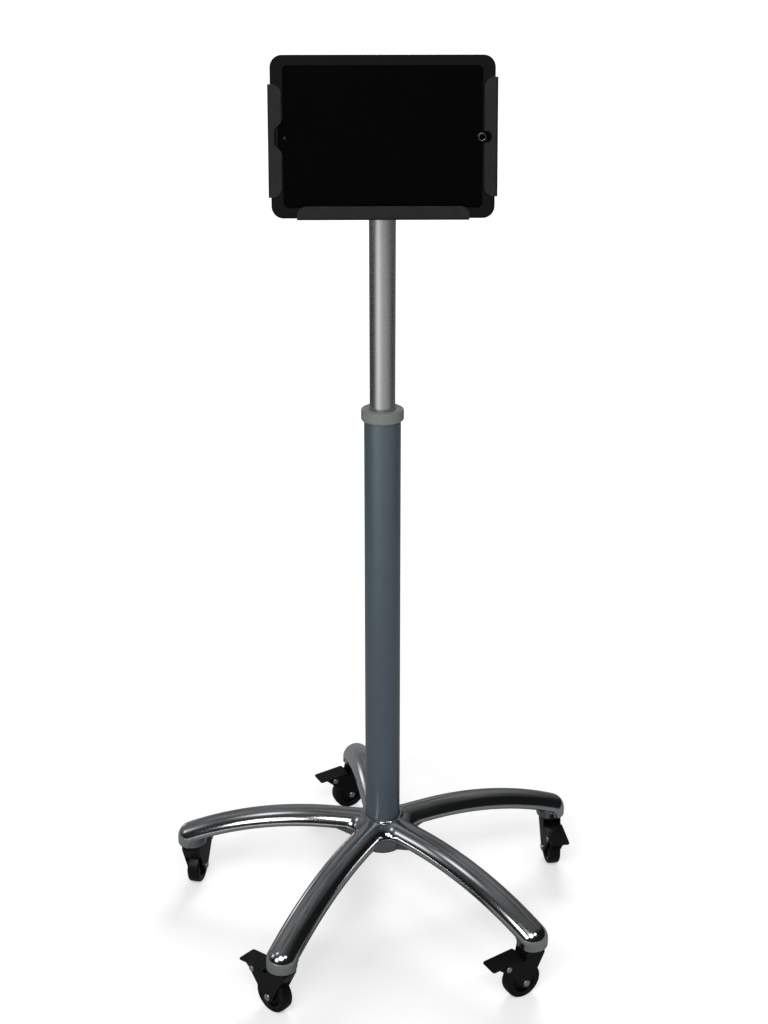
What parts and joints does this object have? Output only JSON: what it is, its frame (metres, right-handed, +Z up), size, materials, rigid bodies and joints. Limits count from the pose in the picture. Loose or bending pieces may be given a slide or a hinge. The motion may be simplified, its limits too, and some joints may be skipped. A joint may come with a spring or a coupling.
{
  "type": "tablet floor stand",
  "caption": "Rolling floor stand: chrome star base on braked casters, telescoping column, tilting and turning tray with lipped edges that holds a cased tablet.",
  "frame": {"origin": "on the floor, on the column's axis", "axes": "+Z up along the column, -Y towards the person who looks at the screen, +X to that person's right"},
  "size_m": [0.5604, 0.555, 1.166],
  "materials": {
    "base_chrome": "polished",
    "column_paint": "satin",
    "collar_plastic": "moulded satin",
    "post_silver": "fine ground",
    "spring_steel": "bright drawn",
    "bush_plastic": "natural",
    "head_paint": "satin black",
    "grip_plastic": "moulded",
    "tray_coat": "textured powder coat",
    "case_plastic": "fine matt",
    "tablet_metal": "anodised",
    "screen_glass": "polished black",
    "panel_dark": "plain",
    "button_gloss": "polished",
    "caster_paint": "satin black",
    "wheel_plastic": "moulded",
    "tyre_rubber": "smooth",
    "zinc_steel": "zinc plated"
  },
  "bodies": {
    "base": {"star_base": "base_chrome", "caster_stems": "zinc_steel", "outer_column": "column_paint", "column_foot": "spring_steel", "column_collar": "collar_plastic", "rod_washer": "zinc_steel", "rod_clip": "zinc_steel", "gas_rod": "spring_steel", "gas_piston": "bush_plastic"},
    "gas_cylinder": {"gas_tube": "spring_steel", "gas_seal": "bush_plastic"},
    "valve": {"release_pin": "spring_steel"},
    "post": {"post": "post_silver", "guide_bush": "bush_plastic", "head_socket": "head_paint", "socket_screws": "zinc_steel", "tilt_bolt": "zinc_steel", "tilt_washers": "bush_plastic", "lever_pin": "zinc_steel"},
    "lever": {"release_lever": "head_paint"},
    "knob": {"tilt_knob": "grip_plastic"},
    "tilt_head": {"tilt_knuckle": "head_paint", "friction_disc": "bush_plastic", "pivot_bolt": "zinc_steel"},
    "holder": {"rotor_plate": "head_paint", "tray": "tray_coat", "tray_screws": "zinc_steel"},
    "tablet": {"tablet_case": "case_plastic", "tablet_body": "tablet_metal", "tablet_glass": "screen_glass", "display_panel": "panel_dark", "tablet_battery": "panel_dark", "lens_ring": "button_gloss"},
    "home_key": {"home_button": "button_gloss"},
    "swivel_front_left": {"fork_front_left": "caster_paint", "pins_front_left": "zinc_steel"},
    "roller_front_left": {"wheel_front_left": "wheel_plastic", "tyre_front_left": "tyre_rubber"},
    "brake_front_left": {"pedal_front_left": "caster_paint"},
    "swivel_front_right": {"fork_front_right": "caster_paint", "pins_front_right": "zinc_steel"},
    "roller_front_right": {"wheel_front_right": "wheel_plastic", "tyre_front_right": "tyre_rubber"},
    "brake_front_right": {"pedal_front_right": "caster_paint"},
    "swivel_right": {"fork_right": "caster_paint", "pins_right": "zinc_steel"},
    "roller_right": {"wheel_right": "wheel_plastic", "tyre_right": "tyre_rubber"},
    "brake_right": {"pedal_right": "caster_paint"},
    "swivel_back": {"fork_back": "caster_paint", "pins_back": "zinc_steel"},
    "roller_back": {"wheel_back": "wheel_plastic", "tyre_back": "tyre_rubber"},
    "brake_back": {"pedal_back": "caster_paint"},
    "swivel_left": {"fork_left": "caster_paint", "pins_left": "zinc_steel"},
    "roller_left": {"wheel_left": "wheel_plastic", "tyre_left": "tyre_rubber"},
    "brake_left": {"pedal_left": "caster_paint"}
  },
  "joints": [
    {"name": "height_slide", "type": "slide", "parent": "base", "child": "gas_cylinder", "axis": [0, 0, 1], "range_m": [-0.21, 0.1]},
    {"name": "head_swivel", "type": "hinge", "parent": "gas_cylinder", "child": "post", "pos_m": [0, 0, 1], "axis": [0, 0, 1], "continuous": true},
    {"name": "valve_travel", "type": "slide", "parent": "gas_cylinder", "child": "valve", "axis": [0, 0, -1], "range_m": [0, 0.00267], "stiffness_N_per_m": 300, "springref_m": -0.002},
    {"name": "lever_lift", "type": "hinge", "parent": "post", "child": "lever", "pos_m": [0, 0.011, 1.0517], "axis": [1, 0, 0], "range_deg": [0, 15]},
    {"name": "tilt", "type": "hinge", "parent": "post", "child": "tilt_head", "pos_m": [0, 0, 1.06685], "axis": [-1, 0, 0], "range_deg": [-11, 64]},
    {"name": "knob_turn", "type": "hinge", "parent": "post", "child": "knob", "pos_m": [0.02, 0, 1.06685], "axis": [1, 0, 0], "range_deg": [-180, 180]},
    {"name": "holder_turn", "type": "hinge", "parent": "tilt_head", "child": "holder", "pos_m": [0, -0.0265, 1.072], "axis": [0, -0.9816, 0.1908], "range_deg": [0, 90]},
    {"name": "tablet_slide", "type": "slide", "parent": "holder", "child": "tablet", "axis": [0, 0.1908, 0.9816], "range_m": [0, 0.19]},
    {"name": "home_press", "type": "slide", "parent": "tablet", "child": "home_key", "axis": [0, 0.9816, -0.1908], "range_m": [0, 0.0004], "stiffness_N_per_m": 800},
    {"name": "caster_swivel_front_left", "type": "hinge", "parent": "base", "child": "swivel_front_left", "pos_m": [-0.13042, -0.2412, 0.07], "axis": [0, 0, 1], "continuous": true},
    {"name": "wheel_spin_front_left", "type": "hinge", "parent": "swivel_front_left", "child": "roller_front_left", "pos_m": [-0.14153, -0.23098, 0.025], "axis": [-0.6769, -0.7361, 0], "continuous": true},
    {"name": "brake_press_front_left", "type": "hinge", "parent": "swivel_front_left", "child": "brake_front_left", "pos_m": [-0.16177, -0.21236, 0.0554], "axis": [-0.6769, -0.7361, 0], "range_deg": [0, 14]},
    {"name": "caster_swivel_front_right", "type": "hinge", "parent": "base", "child": "swivel_front_right", "pos_m": [0.18909, -0.19857, 0.07], "axis": [0, 0, 1], "continuous": true},
    {"name": "wheel_spin_front_right", "type": "hinge", "parent": "swivel_front_right", "child": "roller_front_right", "pos_m": [0.17586, -0.20584, 0.025], "axis": [0.4818, -0.8763, 0], "continuous": true},
    {"name": "brake_press_front_right", "type": "hinge", "parent": "swivel_front_right", "child": "brake_front_right", "pos_m": [0.15176, -0.21909, 0.0554], "axis": [0.4818, -0.8763, 0], "range_deg": [0, 14]},
    {"name": "caster_swivel_right", "type": "hinge", "parent": "base", "child": "swivel_right", "pos_m": [0.24728, 0.11848, 0.07], "axis": [0, 0, 1], "continuous": true},
    {"name": "wheel_spin_right", "type": "hinge", "parent": "swivel_right", "child": "roller_right", "pos_m": [0.24949, 0.10354, 0.025], "axis": [0.9893, 0.1461, 0], "continuous": true},
    {"name": "brake_press_right", "type": "hinge", "parent": "swivel_right", "child": "brake_right", "pos_m": [0.25351, 0.07633, 0.0554], "axis": [0.9893, 0.1461, 0], "range_deg": [0, 14]},
    {"name": "caster_swivel_back", "type": "hinge", "parent": "base", "child": "swivel_back", "pos_m": [-0.03626, 0.27179, 0.07], "axis": [0, 0, 1], "continuous": true},
    {"name": "wheel_spin_back", "type": "hinge", "parent": "swivel_back", "child": "roller_back", "pos_m": [-0.04987, 0.26524, 0.025], "axis": [0.4337, -0.9011, 0], "continuous": true},
    {"name": "brake_press_back", "type": "hinge", "parent": "swivel_back", "child": "brake_back", "pos_m": [-0.07465, 0.25332, 0.0554], "axis": [0.4337, -0.9011, 0], "range_deg": [0, 14]},
    {"name": "caster_swivel_left", "type": "hinge", "parent": "base", "child": "swivel_left", "pos_m": [-0.2697, 0.0495, 0.07], "axis": [0, 0, 1], "continuous": true},
    {"name": "wheel_spin_left", "type": "hinge", "parent": "swivel_left", "child": "roller_left", "pos_m": [-0.26632, 0.06422, 0.025], "axis": [-0.9748, 0.2233, 0], "continuous": true},
    {"name": "brake_press_left", "type": "hinge", "parent": "swivel_left", "child": "brake_left", "pos_m": [-0.26018, 0.09102, 0.0554], "axis": [-0.9748, 0.2233, 0], "range_deg": [0, 14]}
  ],
  "couplings": [
    {"joint": "lever_lift", "follows": "valve_travel", "rad_per_m": 84.745}
  ]
}
